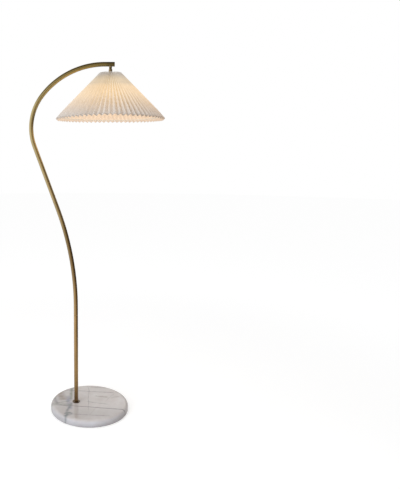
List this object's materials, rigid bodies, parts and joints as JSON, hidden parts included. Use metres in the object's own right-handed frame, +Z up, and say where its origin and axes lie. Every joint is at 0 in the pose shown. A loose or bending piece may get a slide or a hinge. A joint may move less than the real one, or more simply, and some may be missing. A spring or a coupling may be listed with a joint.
{
  "type": "floor lamp",
  "caption": "Arc floor lamp: a curved metal pole on a round stone base holds a pleated cone shade that swivels and tilts under its arm.",
  "frame": {"origin": "centre of the base's underside, on the floor", "axes": "+Z up, +X the way the arm reaches, +Y towards the rear edge with the cord inlet"},
  "size_m": [0.5565, 0.4456, 1.4991],
  "materials": {
    "marble": "polished",
    "felt": "matte",
    "aged_brass": "satin",
    "steel": "satin",
    "black_plastic": "matte",
    "lead_sheath": "satin",
    "white_enamel": "satin",
    "white_plastic": "satin",
    "white_ceramic": "gloss",
    "contact_brass": "satin",
    "bulb_metal": "satin",
    "bulb_glass": "satin",
    "shade_cloth": "matte"
  },
  "bodies": {
    "stand": {"marble_base": "marble", "base_pad": "felt", "base_collar": "aged_brass", "foot_nipple": "steel", "foot_insert": "steel", "clamp_washer": "steel", "toothed_washer": "steel", "foot_nut": "steel", "cord_gland": "black_plastic", "lower_pole": "aged_brass", "middle_pole": "aged_brass", "upper_arm": "aged_brass", "lower_joiner": "steel", "upper_joiner": "steel", "joint_screws": "steel", "arm_end_cap": "aged_brass", "swivel_block": "steel", "swivel_bush": "aged_brass", "pole_lead": "lead_sheath"},
    "neck": {"swivel_neck": "aged_brass", "neck_clip": "steel"},
    "head": {"head_sleeve": "aged_brass", "pivot_screws": "aged_brass", "holder_lead": "lead_sheath", "shade_carrier": "white_enamel", "holder_cap": "white_plastic", "holder_shell": "white_plastic", "holder_insulator": "white_ceramic", "holder_contact": "contact_brass", "screw_shell": "contact_brass", "bulb_cap": "bulb_metal", "bulb_contact": "bulb_metal", "bulb_glass": "bulb_glass", "pleated_shade": "shade_cloth", "lower_hoop": "white_enamel"}
  },
  "joints": [
    {"name": "head_swivel", "type": "hinge", "parent": "stand", "child": "neck", "pos_m": [0.08454, 0, 1.46694], "axis": [0, 0, 1], "range_deg": [-170, 170]},
    {"name": "head_tilt", "type": "hinge", "parent": "neck", "child": "head", "pos_m": [0.08454, 0, 1.46694], "axis": [0, 1, 0], "range_deg": [-15, 15]}
  ]
}
